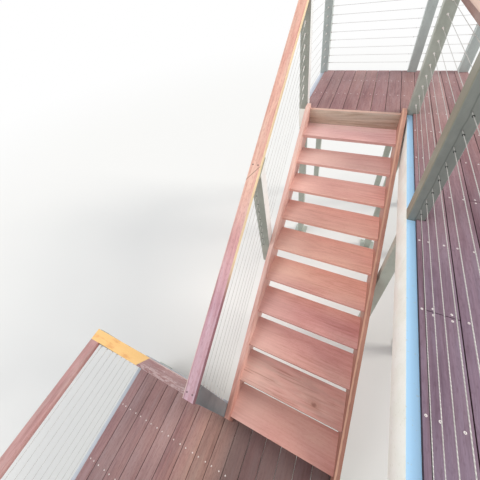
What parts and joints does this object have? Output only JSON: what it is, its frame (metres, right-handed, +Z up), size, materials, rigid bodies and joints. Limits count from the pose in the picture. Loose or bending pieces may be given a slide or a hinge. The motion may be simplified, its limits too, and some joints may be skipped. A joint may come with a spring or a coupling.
{
  "type": "wooden deck stairs",
  "caption": "Open-riser timber stair flight between a low deck and a raised deck, with square steel posts, timber handrails and taut wire infill on steel-edged board decks.",
  "frame": {"origin": "centre of the whole part's base, on the ground", "axes": "+Z up, +Y the way the flight climbs, +X to the right of someone going up"},
  "size_m": [2.9818, 5.65, 3.52],
  "materials": {
    "stringer_timber": "oiled hardwood plank",
    "tread_timber": "oiled hardwood tread",
    "deck_timber": "weathered hardwood boards",
    "rail_timber": "planed hardwood, partly weathered",
    "head_timber": "weathered treated pine",
    "joist_timber": "rough sawn treated pine",
    "post_steel": "satin grey-green paint on galvanised tube",
    "frame_steel": "pale satin paint on rolled channel",
    "wire_steel": "stainless wire rope"
  },
  "bodies": {
    "root": {"stringer_left": "stringer_timber", "stringer_right": "stringer_timber", "tread_01": "tread_timber", "tread_02": "tread_timber", "tread_03": "tread_timber", "tread_04": "tread_timber", "tread_05": "tread_timber", "tread_06": "tread_timber", "tread_07": "tread_timber", "tread_08": "tread_timber", "tread_09": "tread_timber", "tread_10": "tread_timber", "head_riser": "head_timber", "stair_post_foot": "post_steel", "stair_post_middle": "post_steel", "handrail_lower": "rail_timber", "handrail_upper": "rail_timber", "stair_wires_side": "wire_steel", "landing_end_beams": "frame_steel", "landing_side_beams": "frame_steel", "landing_joists": "joist_timber", "landing_boards": "deck_timber", "landing_legs": "post_steel", "landing_post_front_left": "post_steel", "landing_post_rear_left": "post_steel", "landing_post_front_right": "post_steel", "landing_post_rear_right": "post_steel", "landing_post_rear_end": "post_steel", "landing_rail_left": "rail_timber", "landing_rail_rear": "rail_timber", "landing_wires_left": "wire_steel", "landing_wires_rear": "wire_steel", "wing_beams": "frame_steel", "wing_joists": "joist_timber", "wing_legs": "post_steel", "wing_post_middle": "post_steel", "wing_post_front": "post_steel", "wing_rail": "rail_timber", "wing_wires": "wire_steel", "deck_end_beams": "frame_steel", "deck_side_beams": "frame_steel", "deck_joists": "joist_timber", "deck_boards": "deck_timber", "deck_legs": "post_steel", "deck_post_corner": "post_steel", "deck_post_front": "post_steel", "deck_rail_left": "rail_timber", "deck_rail_back": "rail_timber", "deck_wires_left": "wire_steel", "deck_wires_back": "wire_steel"}
  },
  "joints": []
}
